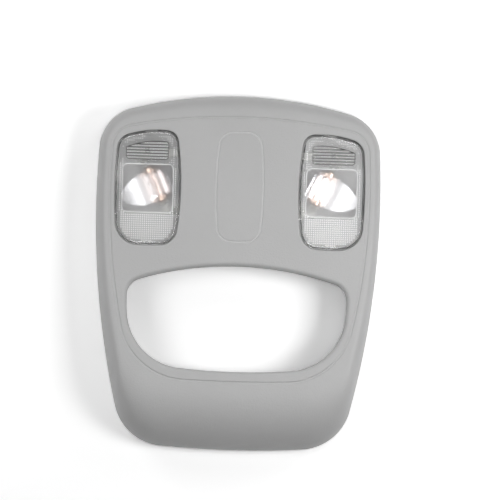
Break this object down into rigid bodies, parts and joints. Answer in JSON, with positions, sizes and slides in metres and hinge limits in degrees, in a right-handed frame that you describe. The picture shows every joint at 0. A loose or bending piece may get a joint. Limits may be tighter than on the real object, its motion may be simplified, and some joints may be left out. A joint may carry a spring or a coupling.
{
  "type": "car dome light",
  "caption": "Moulded overhead console lamp with two rocking press-to-switch map lamp lenses and a large through opening behind them; screws to the roof frame from behind.",
  "frame": {"origin": "middle of the rim's box, on the plane of the rim that meets the roof lining", "axes": "+Z out of the visible face, +Y along the length towards the front edge of the console, +X across it to the right as seen from the cabin side"},
  "size_m": [0.2112, 0.263, 0.0383],
  "materials": {
    "housing_plastic": "fine matte grain, light grey",
    "lens_clear": "clear moulded, frosted and prismatic fields",
    "base_plastic": "plain moulded pale grey",
    "reflector_bright": "bright formed sheet",
    "bulb_glass": "clear",
    "cap_brass": "drawn, warm",
    "contact_tinned": "tin-plated stamped brass",
    "filament_wire": "drawn wire",
    "switch_plastic": "plain moulded grey",
    "plunger_plastic": "plain moulded natural",
    "spring_steel": "drawn wire",
    "screw_steel": "zinc plated"
  },
  "bodies": {
    "housing": {"housing": "housing_plastic", "lamp_base_left": "base_plastic", "reflector_left": "reflector_bright", "bulb_glass_left": "bulb_glass", "bulb_caps_left": "cap_brass", "bulb_filament_left": "filament_wire", "ground_strip_left": "contact_tinned", "switch_strip_left": "contact_tinned", "feed_strip_left": "contact_tinned", "switch_body_left": "switch_plastic", "switch_cover_left": "switch_plastic", "switch_spring_left": "spring_steel", "base_screws_left": "screw_steel", "lamp_base_right": "base_plastic", "reflector_right": "reflector_bright", "bulb_glass_right": "bulb_glass", "bulb_caps_right": "cap_brass", "bulb_filament_right": "filament_wire", "ground_strip_right": "contact_tinned", "switch_strip_right": "contact_tinned", "feed_strip_right": "contact_tinned", "switch_body_right": "switch_plastic", "switch_cover_right": "switch_plastic", "switch_spring_right": "spring_steel", "base_screws_right": "screw_steel"},
    "lens_left": {"lens_left": "lens_clear"},
    "plunger_left": {"switch_plunger_left": "plunger_plastic"},
    "lens_right": {"lens_right": "lens_clear"},
    "plunger_right": {"switch_plunger_right": "plunger_plastic"}
  },
  "joints": [
    {"name": "lens_left_press", "type": "hinge", "parent": "housing", "child": "lens_left", "pos_m": [-0.0684, 0.04166, 0.02623], "axis": [-1, 0, 0], "range_deg": [0, 4], "stiffness_Nm_per_rad": 1.2, "springref_deg": -5.73},
    {"name": "plunger_left_travel", "type": "slide", "parent": "housing", "child": "plunger_left", "axis": [0, -0.0607, -0.9982], "range_m": [0, 0.0034], "deforming": ["switch_spring_left"]},
    {"name": "lens_right_press", "type": "hinge", "parent": "housing", "child": "lens_right", "pos_m": [0.0684, 0.04166, 0.02623], "axis": [-1, 0, 0], "range_deg": [0, 4], "stiffness_Nm_per_rad": 1.2, "springref_deg": -5.73},
    {"name": "plunger_right_travel", "type": "slide", "parent": "housing", "child": "plunger_right", "axis": [0, -0.0607, -0.9982], "range_m": [0, 0.0034], "deforming": ["switch_spring_right"]}
  ],
  "couplings": [
    {"joint": "plunger_left_travel", "follows": "lens_left_press", "m_per_rad": 0.0478},
    {"joint": "plunger_right_travel", "follows": "lens_right_press", "m_per_rad": 0.0478}
  ]
}
